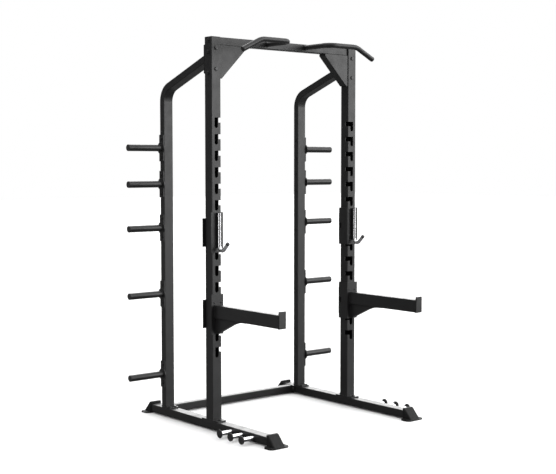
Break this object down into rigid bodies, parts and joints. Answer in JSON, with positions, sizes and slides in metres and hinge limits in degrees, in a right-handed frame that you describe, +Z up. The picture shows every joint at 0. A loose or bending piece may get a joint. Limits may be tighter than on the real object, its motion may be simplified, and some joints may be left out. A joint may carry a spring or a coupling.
{
  "type": "half rack",
  "caption": "Black steel half rack with slotted uprights, bent rear posts, chin-up handles, plate storage horns, chrome bar hooks and spotter arms that lift out of their slots.",
  "frame": {"origin": "middle of the floor area between the tips of the feet, at floor level; the spotter arms reach 16 mm further forward than the feet, so the bounding box has its middle 8 mm in front of the origin", "axes": "+Z up, -Y to the front where the hooks and spotter arms are, +X to the rack's side"},
  "size_m": [1.714, 1.376, 2.4],
  "materials": {
    "black_powder_coat": "satin powder coat with a fine orange-peel texture",
    "black_plastic": "moulded plastic with a fine grain",
    "black_rubber": "matt moulded rubber",
    "chrome": "polished, with fine scratches where bars and bands rub",
    "black_fasteners": "blackened steel, slightly worn on the corners"
  },
  "bodies": {
    "frame": {"left_upright": "black_powder_coat", "right_upright": "black_powder_coat", "left_upright_cap": "black_plastic", "right_upright_cap": "black_plastic", "left_rear_post": "black_powder_coat", "right_rear_post": "black_powder_coat", "left_base_rail": "black_powder_coat", "right_base_rail": "black_powder_coat", "left_front_foot": "black_rubber", "right_front_foot": "black_rubber", "left_rear_foot": "black_rubber", "right_rear_foot": "black_rubber", "left_gusset": "black_powder_coat", "right_gusset": "black_powder_coat", "left_pullup_handle": "black_powder_coat", "right_pullup_handle": "black_powder_coat", "left_pullup_handle_cap": "black_plastic", "right_pullup_handle_cap": "black_plastic", "left_storage_horn_1": "black_powder_coat", "right_storage_horn_1": "black_powder_coat", "left_storage_horn_2": "black_powder_coat", "right_storage_horn_2": "black_powder_coat", "left_storage_horn_3": "black_powder_coat", "right_storage_horn_3": "black_powder_coat", "left_storage_horn_4": "black_powder_coat", "right_storage_horn_4": "black_powder_coat", "left_storage_horn_5": "black_powder_coat", "right_storage_horn_5": "black_powder_coat", "left_horn_caps": "black_plastic", "right_horn_caps": "black_plastic", "left_band_pegs": "chrome", "right_band_pegs": "chrome", "left_band_peg_caps": "black_plastic", "right_band_peg_caps": "black_plastic", "top_crossbeam": "black_powder_coat", "rear_crossmember": "black_powder_coat", "upright_base_bolts": "black_fasteners", "rear_post_bolts": "black_fasteners", "crossbeam_bolts": "black_fasteners", "horn_bolts": "black_fasteners", "crossmember_bolts": "black_fasteners"},
    "left_jhook": {"left_jhook_bracket": "black_powder_coat", "left_jhook_liner": "black_plastic", "left_jhook_rod": "chrome", "left_jhook_tip": "black_plastic"},
    "left_arm": {"left_arm_bracket": "black_powder_coat", "left_arm_liner": "black_plastic", "left_arm_tube": "black_powder_coat", "left_arm_web": "black_powder_coat", "left_arm_end_plate": "black_powder_coat"},
    "right_jhook": {"right_jhook_bracket": "black_powder_coat", "right_jhook_liner": "black_plastic", "right_jhook_rod": "chrome", "right_jhook_tip": "black_plastic"},
    "right_arm": {"right_arm_bracket": "black_powder_coat", "right_arm_liner": "black_plastic", "right_arm_tube": "black_powder_coat", "right_arm_web": "black_powder_coat", "right_arm_end_plate": "black_powder_coat"}
  },
  "joints": [
    {"name": "left_jhook_lift", "type": "slide", "parent": "frame", "child": "left_jhook", "axis": [0, 0, 1], "range_m": [0, 0.038]},
    {"name": "left_arm_lift", "type": "slide", "parent": "frame", "child": "left_arm", "axis": [0, 0, 1], "range_m": [0, 0.038]},
    {"name": "right_jhook_lift", "type": "slide", "parent": "frame", "child": "right_jhook", "axis": [0, 0, 1], "range_m": [0, 0.038]},
    {"name": "right_arm_lift", "type": "slide", "parent": "frame", "child": "right_arm", "axis": [0, 0, 1], "range_m": [0, 0.038]}
  ]
}
